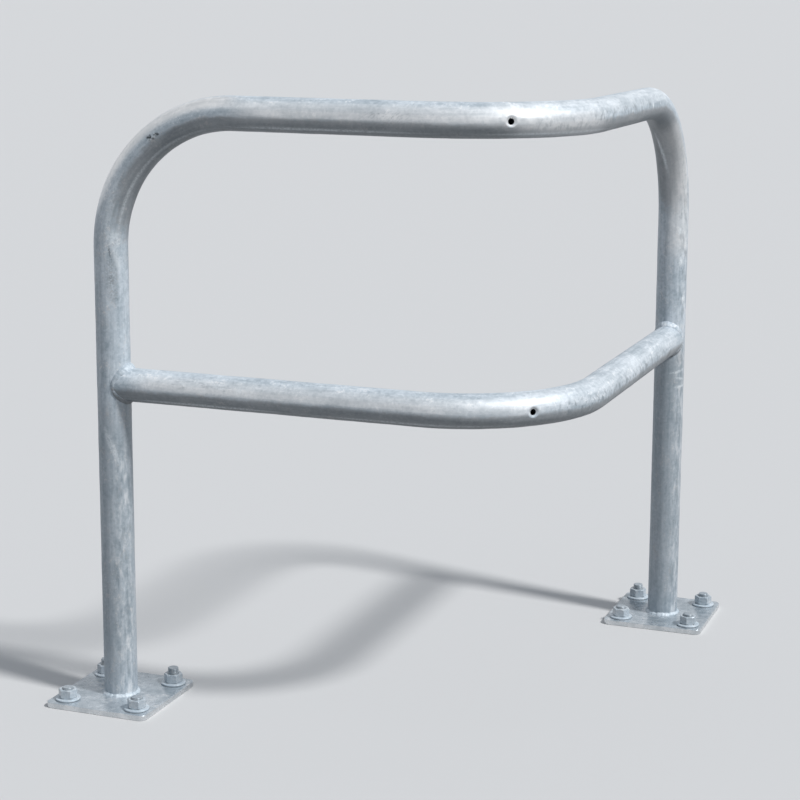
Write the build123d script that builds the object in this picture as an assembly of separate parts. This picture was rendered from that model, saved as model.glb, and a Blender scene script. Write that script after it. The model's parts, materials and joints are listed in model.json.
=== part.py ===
from build123d import *
import math
import os

# Corner guard railing of galvanised steel tube, in millimetres.
# The origin is the centre of the underside of the left base plate.
# The left leg runs along +X to the corner, the right leg along +Y away from it, and +Z is up.

# Layout of the railing
overall_height = 1100.0
left_leg_length = 815.0
right_leg_length = 815.0
mid_rail_height = 585.0
post_bend_radius = 240.0
corner_bend_radius = 240.0

# Tube of the posts and both rails
tube_diameter = 60.3
tube_wall = 2.9

# Vent holes in the corner bends, by angle from the start of the bend
vent_hole_diameter = 12.0
top_vent_angle = 35.0
mid_vent_angle = 45.0

# Base plates
plate_side = 200.0
plate_thickness = 10.0
plate_corner_radius = 12.0
plate_edge_radius = 1.2
drain_hole_diameter = 30.0

# Anchors, four to a plate
anchor_spacing = 140.0
anchor_diameter = 20.0
anchor_hole_clearance = 1.0
thread_clearance = 0.1
washer_diameter = 45.0
washer_thickness = 4.0
washer_edge_radius = 0.8
nut_across_flats = 30.0
nut_height = 16.0
nut_chamfer_angle = 30.0
stud_end_chamfer = 1.5

# How far each stud stands above its nut, anticlockwise from the plate's near left corner
left_stud_projections = [3.0, 3.0, 11.0, 10.0]
right_stud_projections = [4.0, 4.0, 5.0, 9.0]

# Where each nut stopped turning, in degrees, in the same order
left_nut_turns = [14.0, 9.0, 16.0, 22.0]
right_nut_turns = [4.0, 33.0, 11.0, 26.0]

# Weld beads
foot_weld_leg = 7.0
foot_weld_crown = 0.6
saddle_weld_radius = 7.0
saddle_weld_crown = 3.0

# Worked out from the sizes above
tube_radius = tube_diameter / 2
top_rail_height = overall_height - tube_radius
left_post_place = (0.0, 0.0)
right_post_place = (left_leg_length, right_leg_length)


def at_height(place, height):
    """The point over a place in plan at a height."""
    return (place[0], place[1], height)


def round_bar(path, radius):
    """A solid round bar of one radius along a path."""
    section = Plane(origin=path @ 0, z_dir=path % 0) * Circle(radius)
    return sweep(section, path=path)


def bent_tube(points, bend_radii):
    """A tube through the points, with a bend of its own radius at each inner point."""
    path = FilletPolyline(*points, radius=bend_radii)
    return round_bar(path, tube_radius) - round_bar(path, tube_radius - tube_wall)


def corner_vent(height, angle):
    """The drill for a vent hole, level and square to the outside of the corner bend."""
    bend_start = left_leg_length - corner_bend_radius
    outward = (math.sin(math.radians(angle)), -math.cos(math.radians(angle)), 0)
    centre = Vector(bend_start, corner_bend_radius, height) + Vector(outward) * corner_bend_radius
    drill = Plane(origin=centre, z_dir=outward)
    return extrude(drill * Circle(vent_hole_diameter / 2), amount=tube_diameter)


def post_core(place):
    """The space that a post fills, tube and hollow, from the ground to the top rail."""
    return extrude(Pos(place[0], place[1], 0) * Circle(tube_radius), amount=top_rail_height)


def make_hoop_tube():
    """The one long tube: left post, top rail round the corner, right post."""
    points = [
        at_height(left_post_place, plate_thickness),
        at_height(left_post_place, top_rail_height),
        (left_leg_length, 0, top_rail_height),
        at_height(right_post_place, top_rail_height),
        at_height(right_post_place, plate_thickness),
    ]
    hoop = bent_tube(points, [post_bend_radius, corner_bend_radius, post_bend_radius])
    return hoop - corner_vent(top_rail_height, top_vent_angle)


def make_mid_rail():
    """The lower rail, its ends cut to a saddle that sits on the posts."""
    points = [
        at_height(left_post_place, mid_rail_height),
        (left_leg_length, 0, mid_rail_height),
        at_height(right_post_place, mid_rail_height),
    ]
    rail = bent_tube(points, [corner_bend_radius])
    rail = rail - post_core(left_post_place) - post_core(right_post_place)
    return rail - corner_vent(mid_rail_height, mid_vent_angle)


def make_saddle_weld(place, rail_direction):
    """The bead where the mid rail meets a post.

    Two equal tubes at a right angle meet on two half ellipses, one sloping up and one down.
    The bead follows the upper one past the post's sides, and its mirror image the lower one.
    """
    slope = Plane(origin=(0, 0, 0), x_dir=(1, 0, 1), z_dir=(1, 0, -1))
    past_side = 105
    half_ellipse = slope * EllipticalCenterArc(
        (0, 0), tube_radius * math.sqrt(2), tube_radius, start_angle=-past_side, arc_size=2 * past_side
    )
    reach = 4 * tube_diameter
    upper = round_bar(half_ellipse, saddle_weld_radius)
    upper = upper & Pos(0, 0, reach / 2) * Box(reach, reach, reach)
    bead = upper + mirror(upper, about=Plane.XY)
    width = tube_diameter + 2 * saddle_weld_crown
    bead = bead & Pos(reach / 2, 0, 0) * Box(reach + tube_radius, width, reach)
    bead = bead - Cylinder(tube_radius, reach) - Rot(0, 90, 0) * Cylinder(tube_radius, reach)
    seat = Plane(origin=at_height(place, mid_rail_height), x_dir=rail_direction, z_dir=(0, 0, 1))
    return seat * bead


def make_base_plate(place):
    """A square plate with rounded corners, four anchor holes and a drain hole below the post."""
    plate = extrude(RectangleRounded(plate_side, plate_side, plate_corner_radius), amount=plate_thickness)
    outline = plate.faces().sort_by(Axis.Z)[0].edges() + plate.faces().sort_by(Axis.Z)[-1].edges()
    plate = fillet(outline, plate_edge_radius)
    hole = Circle(anchor_diameter / 2 + anchor_hole_clearance)
    for x, y in anchor_places((0, 0)):
        plate -= extrude(Pos(x, y, 0) * hole, amount=plate_thickness)
    plate -= extrude(Circle(drain_hole_diameter / 2), amount=plate_thickness)
    return Pos(place[0], place[1], 0) * plate


def make_foot_weld(place):
    """The fillet bead round the foot of a post, slightly crowned."""
    leg = foot_weld_leg
    middle = leg / 2 + foot_weld_crown
    root = (tube_radius, plate_thickness)
    toe = (tube_radius + leg, plate_thickness)
    crown = (tube_radius + middle, plate_thickness + middle)
    top = (tube_radius, plate_thickness + leg)
    outline = Line(root, toe) + ThreePointArc(toe, crown, top) + Line(top, root)
    section = Plane.XZ * make_face(outline)
    return Pos(place[0], place[1], 0) * revolve(section, Axis.Z)


def anchor_places(place):
    """The four anchor centres of a plate in plan, anticlockwise from the near left."""
    half = anchor_spacing / 2
    corners = [(-half, -half), (half, -half), (half, half), (-half, half)]
    return [(place[0] + x, place[1] + y) for x, y in corners]


def make_stud(place, projection):
    """A threaded stud, plain here, from the underside of the plate to above its nut."""
    height = plate_thickness + washer_thickness + nut_height + projection
    stud = extrude(Circle(anchor_diameter / 2 - thread_clearance), amount=height)
    stud = chamfer(stud.faces().sort_by(Axis.Z)[-1].edges(), stud_end_chamfer)
    return Pos(place[0], place[1], 0) * stud


def make_washer(place):
    """A large flat washer with softened outer edges."""
    washer = extrude(Circle(washer_diameter / 2), amount=washer_thickness)
    washer = fillet(washer.edges().filter_by(GeomType.CIRCLE), washer_edge_radius)
    washer -= extrude(Circle(anchor_diameter / 2 + anchor_hole_clearance), amount=washer_thickness)
    return Pos(place[0], place[1], plate_thickness) * washer


def make_nut(place, turn):
    """A hexagon nut, chamfered at both ends, turned to where it stopped."""
    prism = extrude(RegularPolygon(nut_across_flats / 2, 6, major_radius=False), amount=nut_height)
    corner_radius = nut_across_flats / math.sqrt(3)
    end_radius = nut_across_flats / 2
    slope_height = (corner_radius - end_radius) * math.tan(math.radians(nut_chamfer_angle))
    profile = Polyline(
        (0, 0),
        (end_radius, 0),
        (corner_radius, slope_height),
        (corner_radius, nut_height - slope_height),
        (end_radius, nut_height),
        (0, nut_height),
        close=True,
    )
    nut = prism & revolve(Plane.XZ * make_face(profile), Axis.Z)
    nut -= extrude(Circle(anchor_diameter / 2), amount=nut_height)
    return Pos(place[0], place[1], plate_thickness + washer_thickness) * Rot(0, 0, turn) * nut


def make_post_fittings(side, place, rail_direction, projections, turns):
    """Every piece at one post: plate, welds and anchors, by node name."""
    nodes = {
        f"{side}_base_plate": make_base_plate(place),
        f"{side}_foot_weld": make_foot_weld(place),
        f"{side}_saddle_weld": make_saddle_weld(place, rail_direction),
    }
    for number, anchor_place in enumerate(anchor_places(place), start=1):
        nodes[f"{side}_stud_{number}"] = make_stud(anchor_place, projections[number - 1])
        nodes[f"{side}_washer_{number}"] = make_washer(anchor_place)
        nodes[f"{side}_nut_{number}"] = make_nut(anchor_place, turns[number - 1])
    return nodes


nodes = {"hoop_tube": make_hoop_tube(), "mid_rail": make_mid_rail()}
nodes |= make_post_fittings("left", left_post_place, (1, 0, 0), left_stud_projections, left_nut_turns)
nodes |= make_post_fittings("right", right_post_place, (0, -1, 0), right_stud_projections, right_nut_turns)

os.makedirs("parts", exist_ok=True)
for name, shape in nodes.items():
    export_step(shape, f"parts/{name}.step")
    print(name, "volume", round(shape.volume), "mm3")
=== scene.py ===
# %% [markdown]
# # A corner guard railing of galvanised tube
#
# The real railing is one long steel tube, bent three times into a hoop that stands round an outside corner.
# A lower rail is welded between its posts, and each post stands on a square plate held by four anchors.
# All of it was dipped in molten zinc, so every surface has the mottled grey skin that a zinc bath leaves.
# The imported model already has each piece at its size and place, so this lesson only adds what the eye sees.
# We load it first and keep its box, because nothing that we add may stand out of that box.

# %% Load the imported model
import json
import bpy
import numpy as np
from mathutils import Matrix, Vector

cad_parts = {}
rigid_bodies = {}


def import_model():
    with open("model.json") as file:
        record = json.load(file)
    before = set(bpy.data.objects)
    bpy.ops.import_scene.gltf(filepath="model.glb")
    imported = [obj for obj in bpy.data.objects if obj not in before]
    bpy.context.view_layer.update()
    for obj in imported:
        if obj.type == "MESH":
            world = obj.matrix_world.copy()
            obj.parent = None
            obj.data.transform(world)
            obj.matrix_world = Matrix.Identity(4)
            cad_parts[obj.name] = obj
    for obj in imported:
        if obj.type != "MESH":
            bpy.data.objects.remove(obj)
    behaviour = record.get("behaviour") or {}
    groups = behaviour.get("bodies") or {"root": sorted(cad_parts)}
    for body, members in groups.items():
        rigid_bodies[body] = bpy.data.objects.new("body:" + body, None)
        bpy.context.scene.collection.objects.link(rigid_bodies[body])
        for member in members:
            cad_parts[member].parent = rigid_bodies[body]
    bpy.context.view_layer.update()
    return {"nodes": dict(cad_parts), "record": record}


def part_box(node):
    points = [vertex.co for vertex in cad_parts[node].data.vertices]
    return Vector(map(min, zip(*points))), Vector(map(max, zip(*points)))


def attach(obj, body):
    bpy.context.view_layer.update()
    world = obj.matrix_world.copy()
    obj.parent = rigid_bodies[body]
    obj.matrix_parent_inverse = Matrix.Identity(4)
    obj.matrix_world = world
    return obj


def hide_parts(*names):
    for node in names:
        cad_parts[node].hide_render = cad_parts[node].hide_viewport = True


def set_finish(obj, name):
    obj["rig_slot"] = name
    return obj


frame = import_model()

# %% [markdown]
# ## Sizes, read from the frame
#
# The boxes of the nodes tell almost everything: how thick the tube is, where the posts stand and how high
# the rails lie. Only the bend radius and the wall are not in a box, so they are written here.
# Angles round a tube start at its top or outer side and turn towards the outside of the corner.

# %% Read the sizes
MM = 0.001
TURN = 2 * np.pi
bend_radius = 240 * MM
tube_wall = 2.9 * MM
quarter_bend = bend_radius * np.pi / 2
hoop_low, hoop_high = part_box("hoop_tube")
rail_low, rail_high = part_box("mid_rail")
plate_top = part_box("left_base_plate")[1].z
tube_radius = -hoop_low.x
leg_length = hoop_high.x - tube_radius
top_height = hoop_high.z - tube_radius
mid_height = (rail_low.z + rail_high.z) / 2
sizes = {"tube radius": tube_radius, "leg": leg_length, "top rail": top_height, "mid rail": mid_height}
for name, size in sizes.items():
    print(name, round(size / MM, 2), "mm")

# %% [markdown]
# ## A line with straights and quarter bends
#
# Both tubes follow a line of straights joined by quarter bends. A curve object could carry the tube, but
# then its holes, saddle ends and uneven zinc would be out of reach. So the line is a formula: for any
# distance along it, the formula gives the point, the heading and a side direction, for whole arrays at
# once. A line also says where its zinc pattern starts. The mid rail's starts ten metres on, so that it
# doesn't repeat the hoop's.

# %% The line as a formula
UP = np.array([0.0, 0.0, 1.0])
TO_CORNER = np.array([1.0, 0.0, 0.0])
AWAY = np.array([0.0, 1.0, 0.0])


def turned(direction, axis, turn):
    """Directions turned about an axis.

    direction × cos turn + (axis × direction) × sin turn + axis × (their dot product) × (1 − cos turn)
    """
    along_axis = (direction @ axis)[..., None] * axis
    square_to_axis = direction * np.cos(turn) + np.cross(axis, direction) * np.sin(turn)
    return square_to_axis + along_axis * (1 - np.cos(turn))


def follow(line, distance):
    """The point, heading and side direction at each distance along a line.

    The point is the start, plus for each straight its heading times how far along it we are, plus for each
    bend its radius times (sin turn × the heading before it + (1 − cos turn) × the heading after it).
    Heading and side turn together in each bend, about the direction square to both of its headings.
    """
    headings = line["headings"]
    shape = distance.shape + (3,)
    point = np.broadcast_to(line["start"], shape).copy()
    heading = np.broadcast_to(headings[0], shape)
    side = np.broadcast_to(line["first_side"], shape)
    done = 0.0
    for number, straight in enumerate(line["straights"]):
        point += np.clip(distance - done, 0, straight)[..., None] * headings[number]
        done += straight
        if number + 1 < len(headings):
            before, after = headings[number], headings[number + 1]
            turn = np.clip((distance - done) / bend_radius, 0, np.pi / 2)[..., None]
            point += bend_radius * (np.sin(turn) * before + (1 - np.cos(turn)) * after)
            heading = turned(heading, np.cross(before, after), turn)
            side = turned(side, np.cross(before, after), turn)
            done += quarter_bend
    return point, heading, side


def line_length(line):
    """The straights added up, plus a quarter circle for each bend between them."""
    return sum(line["straights"]) + (len(line["straights"]) - 1) * quarter_bend


post_straight = top_height - bend_radius - plate_top
rail_straight = leg_length - 2 * bend_radius
hoop_line = {
    "start": np.array([0.0, 0.0, plate_top]),
    "headings": [UP, TO_CORNER, AWAY, -UP],
    "straights": [post_straight, rail_straight, rail_straight, post_straight],
    "first_side": -TO_CORNER,
    "pattern_start": 0.0,
}
mid_line = {
    "start": np.array([0.0, 0.0, mid_height]),
    "headings": [TO_CORNER, AWAY],
    "straights": [leg_length - bend_radius, leg_length - bend_radius],
    "first_side": UP,
    "pattern_start": 10.0,
}
print("hoop", round(line_length(hoop_line), 4), "m long, mid rail", round(line_length(mid_line), 4), "m long")

# %% [markdown]
# Vent holes, lumps and marks are placed by how far along a tube they lie. On the hoop that is counted from
# the left foot, up, round the corner and down to the right foot. So it helps to see where each stretch of
# it starts. On the mid rail it is counted from the left post.

# %% Where each stretch of the hoop starts
stretches = ["left post", "left bend", "left rail", "corner", "right rail", "right bend", "right post"]
bends_and_rails = [quarter_bend, rail_straight, quarter_bend, rail_straight, quarter_bend]
stretch_ends = np.cumsum([post_straight, *bends_and_rails, post_straight])
starts = dict(zip(stretches, [0.0, *stretch_ends]))
for stretch, start in starts.items():
    print(f"{stretch} starts at {start:.3f} m")

# %% [markdown]
# ## Uneven zinc
#
# Zinc runs off a dipped tube and freezes unevenly, a tenth of a millimetre or two thicker here and thinner
# there, with a few lumps. A texture could fake it, but only real relief bends the highlights along a tube.
# We add up many faint waves, and they read the place on the tube laid straight, so they pass the bends
# and close round the tube without a seam. The waves only go inwards, so the tube stays its size, and only
# the lumps stand proud of it.

# %% Waves and lumps of zinc
random = np.random.default_rng(11)


def wave_set(count, shortest, longest, height):
    """Random waves: a direction with a wavelength, a phase and a height each."""
    heading = random.normal(size=(count, 3))
    heading /= np.linalg.norm(heading, axis=1)[:, None]
    length = random.uniform(shortest, longest, count)
    return heading / length[:, None] * TURN, random.uniform(0, TURN, count), height / np.sqrt(count / 2)


long_waves = wave_set(26, 28 * MM, 80 * MM, 0.09 * MM)
short_waves = wave_set(30, 11 * MM, 20 * MM, 0.028 * MM)
inward_push = 0.16 * MM


def zinc_waves(straight_place):
    """The sum over the waves of height × sin(place · direction + phase)."""
    total = 0.0
    for vectors, phases, height in (long_waves, short_waves):
        total = total + height * np.sin(straight_place @ vectors.T + phases).sum(axis=-1)
    return total


def zinc_relief(straight_place, lumps, radius):
    """The waves pushed inwards, plus a bell-shaped lump for each line of five numbers.

    These are how far along it lies in metres, at which angle in degrees, and its height, length and width
    in millimetres. A lump adds height × e^(−(along / length)² − (across / width)²).
    """
    relief = np.minimum(zinc_waves(straight_place) - inward_push, 0)
    angle = np.arctan2(straight_place[..., 1], straight_place[..., 0])
    for distance, degrees, height, length, width in lumps:
        along = (straight_place[..., 2] - distance) / (length * MM)
        apart = np.mod(angle - np.radians(degrees) + np.pi, TURN) - np.pi
        across = apart * radius / (width * MM)
        relief = relief + height * MM * np.exp(-along**2 - across**2)
    return relief


one_line = tube_radius * TO_CORNER + np.linspace(0, 3, 3001)[:, None] * UP
deepest = zinc_relief(one_line, [], tube_radius).min()
print("along three metres of tube, the zinc lies up to", round(-deepest / MM, 2), "mm lower than its highest")

# %% [markdown]
# ## A hollow tube with a vent hole
#
# Both tubes have a drilled vent hole in the corner bend, which lets air out in the zinc bath. A boolean
# would cut it, but leaves ragged triangles where the highlight is brightest. Here the tube's grid has a
# square window instead, and rings of points lead from the window's edge to the round hole, over its soft
# rim, through the wall and out to a like window in the inner wall. So the mesh is one closed skin.

# %% Grids and windows
columns = 80
front_column = columns // 4
window_columns = 6
window_rows = 7
window_half = 12.4 * MM


def point_numbers(grid, first_number=0):
    """The numbers of a grid's points, counted row by row."""
    return first_number + np.arange(grid.size).reshape(grid.shape)


def closed(numbers, axis):
    """A grid of point numbers whose first row (axis 0) or column (axis 1) comes again at its end."""
    return np.concatenate([numbers, np.take(numbers, [0], axis=axis)], axis=axis)


def grid_faces(numbers):
    """The quads between neighbouring rows and columns of a grid of point numbers."""
    corners = [numbers[:-1, :-1], numbers[:-1, 1:], numbers[1:, 1:], numbers[1:, :-1]]
    return np.stack(corners, axis=-1).reshape(-1, 4)


def tube_grid(rows, first_number):
    """Distances, angles and point numbers of a grid round a tube."""
    angle = np.arange(columns) * TURN / columns
    distance, angle = np.meshgrid(rows, angle, indexing="ij")
    return distance, angle, closed(point_numbers(distance, first_number), 1)


def window_edge(numbers, row):
    """The point numbers round a window's edge, and its faces left out of the grid's faces."""
    top, bottom = row - window_rows, row + window_rows
    left, right = front_column - window_columns, front_column + window_columns
    edge = np.concatenate([
        numbers[top, left:right],
        numbers[top:bottom, right],
        numbers[bottom, right:left:-1],
        numbers[bottom:top:-1, left],
    ])
    faces = grid_faces(numbers).reshape(numbers.shape[0] - 1, numbers.shape[1] - 1, 4)
    kept = np.ones(faces.shape[:2], bool)
    kept[top:bottom, left:right] = False
    return edge, faces[kept]


def rows_along(length, step, vent_distance):
    """Evenly spaced rows, with the window's own rows in place of those near the vent hole."""
    rows = np.linspace(0, length, int(round(length / step)) + 1)
    rows = rows[np.abs(rows - vent_distance) > window_half + step / 2]
    window = vent_distance + np.linspace(-window_half, window_half, 2 * window_rows + 1)
    return np.sort(np.concatenate([rows, window]))


print("a window has", 4 * (window_columns + window_rows), "points round its edge")

# %% [markdown]
# The outer and inner walls are the same function with another radius. The mid rail's ends are cut to a
# saddle: each point near an end is moved along by the depth at which a line along the tube meets the post.

# %% Points of a tube's wall
saddle_reach = 60 * MM
tip_rounding = 14 * MM


def saddle_depth(angle, radius):
    """How far from the post's axis a line along the rail starts.

    √(post radius² − (radius × sin)² + (tip rounding × sin²)²), so the two tips are cut back a little.
    """
    clear = np.maximum(tube_radius**2 - (radius * np.sin(angle)) ** 2, 0)
    return np.sqrt(clear + (tip_rounding * np.sin(angle) ** 2) ** 2)


def tube_points(line, distance, angle, radius, lumps, saddle_ends):
    """Points of a tube's wall, and the same points with the tube laid straight.

    A point is the line's point + (radius + relief) × (cos angle × side + sin angle × heading × side).
    """
    if saddle_ends:
        length = line_length(line)
        depth = saddle_depth(angle, radius)
        distance = distance + depth * np.maximum(1 - distance / saddle_reach, 0)
        distance = distance - depth * np.maximum(1 - (length - distance) / saddle_reach, 0)
    along = distance + line["pattern_start"]
    straight = np.stack([radius * np.cos(angle), radius * np.sin(angle), along], axis=-1)
    centre, heading, side = follow(line, distance)
    other = np.cross(heading, side)
    outward = np.cos(angle)[..., None] * side + np.sin(angle)[..., None] * other
    reach = radius + zinc_relief(straight, lumps, radius) if radius == tube_radius else radius
    return centre + np.broadcast_to(reach, angle.shape)[..., None] * outward, straight


for part, angle in (("top", 0.0), ("side", np.pi / 2)):
    depth = saddle_depth(angle, tube_radius) / MM
    print("the mid rail's", part, "starts", round(depth, 1), "mm from a post's axis")

# %% [markdown]
# The rings round the vent hole start as the window's square edge and end as a circle. On the outer wall more
# rings follow, which sink over the rim until they reach the hole.

# %% Rings round the vent hole
vent_angle = np.pi / 2
vent_radius = 5.4 * MM
vent_rim = 5.0 * MM
vent_rim_depth = 2.8 * MM
rim_curve = 1.4
collar_rings = 5
rim_rings = 7


def vent_rings(edge_distance, edge_angle, radius, vent_distance):
    """Distances, angles and depths of the rings between a window's edge and the vent hole.

    Each ring is a blend between the edge's flat place (u along, v across) and a circle, point by point.
    Along the outside of the bend, all is (bend radius + radius) / bend radius times as long as on the line.
    Over the rim, the depth is the rim's depth × (how far over it, from 0 to 1) raised to the rim's curve.
    """
    stretch = (bend_radius + radius) / bend_radius
    u = (edge_distance - vent_distance) * stretch
    v = radius * np.sin(edge_angle - vent_angle)
    around = np.arctan2(v, u)
    mouth = vent_radius + (vent_rim if radius == tube_radius else 0)
    share = np.linspace(0, 1, collar_rings + 1)[1:, None]
    rings_u = (1 - share) * u + share * mouth * np.cos(around)
    rings_v = (1 - share) * v + share * mouth * np.sin(around)
    depth = np.zeros_like(rings_u)
    if radius == tube_radius:
        inward = np.linspace(0, 1, rim_rings + 1)[1:, None]
        rim = mouth - vent_rim * inward
        rings_u = np.concatenate([rings_u, rim * np.cos(around)])
        rings_v = np.concatenate([rings_v, rim * np.sin(around)])
        rim_depth = vent_rim_depth * inward**rim_curve
        depth = np.concatenate([depth, np.broadcast_to(rim_depth, (len(rim), len(around)))])
    return vent_distance + rings_u / stretch, vent_angle + np.arcsin(rings_v / radius), depth


def vent_outward(line, vent_distance):
    """The direction out of the vent hole: the line's heading there × its side direction."""
    _, heading, side = follow(line, np.array([vent_distance]))
    return np.cross(heading[0], side[0])


print("vent hole", round(2 * vent_radius / MM, 1), "mm wide, its soft rim", round(vent_rim / MM, 1), "mm")

# %% [markdown]
# Now both walls can be made and joined. A point inside a window belongs to no face, so points without a
# face are dropped at the end.

# %% The whole tube
row_step = 4 * MM
inner_row_step = 20 * MM


def tube_wall_skin(line, radius, step, vent_distance, lumps, saddle_ends, first_number):
    """One wall of a tube, with rings that lead from its window to the vent hole.

    It gives the points, their straight places, the faces, and the point numbers round the hole and both ends.
    """
    rows = rows_along(line_length(line), step, vent_distance)
    distance, angle, numbers = tube_grid(rows, first_number)
    points, places = tube_points(line, distance, angle, radius, lumps, saddle_ends)
    edge, wall_faces = window_edge(numbers, int(np.argmin(np.abs(rows - vent_distance))))
    edge_distance, edge_angle = distance.flat[edge - first_number], angle.flat[edge - first_number]
    ring_distance, ring_angle, depth = vent_rings(edge_distance, edge_angle, radius, vent_distance)
    ring_points, ring_places = tube_points(line, ring_distance, ring_angle, radius, lumps, False)
    ring_points = ring_points - depth[..., None] * vent_outward(line, vent_distance)
    ring_numbers = point_numbers(ring_distance, first_number + distance.size)
    rings = closed(np.concatenate([edge[None], ring_numbers]), 1)
    points = np.concatenate([points.reshape(-1, 3), ring_points.reshape(-1, 3)])
    places = np.concatenate([places.reshape(-1, 3), ring_places.reshape(-1, 3)])
    faces = np.concatenate([wall_faces, grid_faces(rings)])
    return points, places, faces, (rings[-1], numbers[0], numbers[-1])


def hollow_tube(line, vent_distance, lumps, saddle_ends):
    """One closed skin: outer wall, inner wall, both end rings, and the lining of the vent hole."""
    shared = (vent_distance, lumps, saddle_ends)
    outer = tube_wall_skin(line, tube_radius, row_step, *shared, 0)
    inner = tube_wall_skin(line, tube_radius - tube_wall, inner_row_step, *shared, len(outer[0]))
    outer_hole, outer_start, outer_end = outer[3]
    inner_hole, inner_start, inner_end = inner[3]
    joined = ((outer_hole, inner_hole), (inner_start, outer_start), (outer_end, inner_end))
    faces = [outer[2], inner[2][:, ::-1], *(grid_faces(np.stack(pair)) for pair in joined)]
    used, renumbered = np.unique(np.concatenate(faces), return_inverse=True)
    points = np.concatenate([outer[0], inner[0]])[used]
    places = np.concatenate([outer[1], inner[1]])[used]
    return points, renumbered.reshape(-1, 4), places


print("rows of points lie about", row_step / MM, "mm apart outside and", inner_row_step / MM, "mm inside")

# %% [markdown]
# ## Points and faces into a piece
#
# Each piece rides on the railing's one body, names the slot of its finish and stands for its CAD node. The
# volume that its faces enclose is printed: it is above zero only if they point outwards.

# %% Make a piece
def volume_of(points, faces):
    """A sixth of the sum of a · (b × c) over the triangles of the faces."""
    a, b, c, d = (points[faces[:, corner]] for corner in range(4))
    return (np.einsum("ij,ij", a, np.cross(b, c)) + np.einsum("ij,ij", a, np.cross(c, d))) / 6


def facing_out(points, faces):
    """The faces, all turned round if they enclose less than nothing."""
    return faces[:, ::-1] if volume_of(points, faces) < 0 else faces


def make_piece(name, points, faces, slot, *nodes):
    """A smooth-shaded mesh object, in place of the named CAD nodes."""
    mesh = bpy.data.meshes.new(name)
    mesh.from_pydata(points, [], faces.tolist())
    mesh.polygons.foreach_set("use_smooth", np.ones(len(faces), bool))
    mesh.validate()
    piece = bpy.data.objects.new(name, mesh)
    bpy.context.scene.collection.objects.link(piece)
    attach(piece, "root")
    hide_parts(*nodes)
    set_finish(piece, slot)
    print(name, len(faces), "faces, volume", round(volume_of(points, faces) / MM**3), "mm3")
    return piece


slot_of = {part["node"]: part["material_slot"] for part in frame["record"]["subparts"]}
print("the record's slots:", sorted(set(slot_of.values())))

# %% [markdown]
# ## Marks in bands
#
# The tubes carry marks of their own, kept as a share at every point of the mesh. The long ones are bands.
# Short dark dashes lie on the front of the right half of both rails, coarse zinc specks with painted glints
# down the front of each post and at the mid rail's left end, and one place on the top rail is scuffed. The
# fronts of the rails and the outsides of the bends get painted highlights, parts of them a painted
# reflection that is paler and more metallic, and painted shade darkens the posts below the mid rail and the
# inner side where the right rail meets its bend.
# A band is five numbers: from where and to where along the tube in metres, the angle of its middle and its
# reach to either side in degrees, and how strong it is. What is counted from MID lies on the mid rail.

# %% Where the bands lie
MID = mid_line["pattern_start"]
bands = {
    "dashes": [
        (1.68, 1.86, 104, 24, 0.35),
        (1.80, 2.18, 88, 25, 0.75),
        (MID + 0.78, MID + 1.42, 95, 27, 1.0),
    ],
    # Zinc specks, whose white curls are painted glints.
    "glint_and_specks": [
        (-0.05, 0.50, 140, 36, 1.0),
        (2.46, 3.50, 112, 34, 1.0),
        (MID + 0.05, MID + 0.28, 60, 22, 0.8),
    ],
    "scuffs": [(1.42, 1.55, 80, 16, 0.8)],
    # Painted highlights: the colour is paler in these bands.
    "painted_highlight": [
        (0.92, 1.22, 38, 29, 0.8),
        (1.18, 1.74, 72, 34, 0.62),
        (1.68, 1.88, 95, 27, 0.6),
        (1.62, 2.32, 42, 36, 0.27),
        (MID + 0.03, MID + 0.80, 67, 31, 0.48),
        (MID + 0.72, MID + 1.50, 50, 46, 0.2),
        (2.34, 2.72, 140, 52, 0.66),
    ],
    # Painted reflections: paler colour and more metal in these bands.
    "painted_reflection": [
        (0.86, 1.24, 44, 26, 0.7),
        (1.22, 1.76, 84, 13, 0.5),
        (1.66, 1.90, 120, 40, 0.4),
        (MID + 0.05, MID + 0.66, 77, 13, 0.4),
    ],
    # Painted shade: darker colour on the posts below the mid rail and where the right rail meets its bend.
    "painted_shade": [
        (-0.05, 0.57, 90, 1000, 0.3),
        (2.86, 3.50, 90, 1000, 0.38),
        (2.08, 2.36, 142, 26, 0.6),
    ],
}
print("bands:", {band: len(own) for band, own in bands.items()})

# %% [markdown]
# A band with hard edges would look painted on. So its share eases in and out along the tube, and round the
# tube it follows a bell with a flat top.

# %% The share of a band
band_fade = 60 * MM


def soft_step(value):
    """0 below 0 and 1 above 1, eased between: 3 × value² − 2 × value³."""
    value = np.clip(value, 0, 1)
    return 3 * value**2 - 2 * value**3


def degrees_apart(places, middle):
    """How far round the tube each straight place lies from an angle, from −180 to 180 degrees."""
    return np.mod(np.degrees(np.arctan2(places[:, 1], places[:, 0])) - middle + 180, 360) - 180


def band_share(places, own_bands):
    """How much each straight place lies in the bands, from 0 to 1.

    A band is its strength from one distance to another, with soft ends, × e^(−(angle apart / reach)⁴).
    """
    share = np.zeros(len(places))
    for start, end, middle, reach, strength in own_bands:
        begun = soft_step((places[:, 2] - start) / band_fade)
        not_ended = soft_step((end - places[:, 2]) / band_fade)
        share += strength * begun * not_ended * np.exp(-((degrees_apart(places, middle) / reach) ** 4))
    return share


print("a band fades over", band_fade / MM, "mm at each end")
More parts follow.
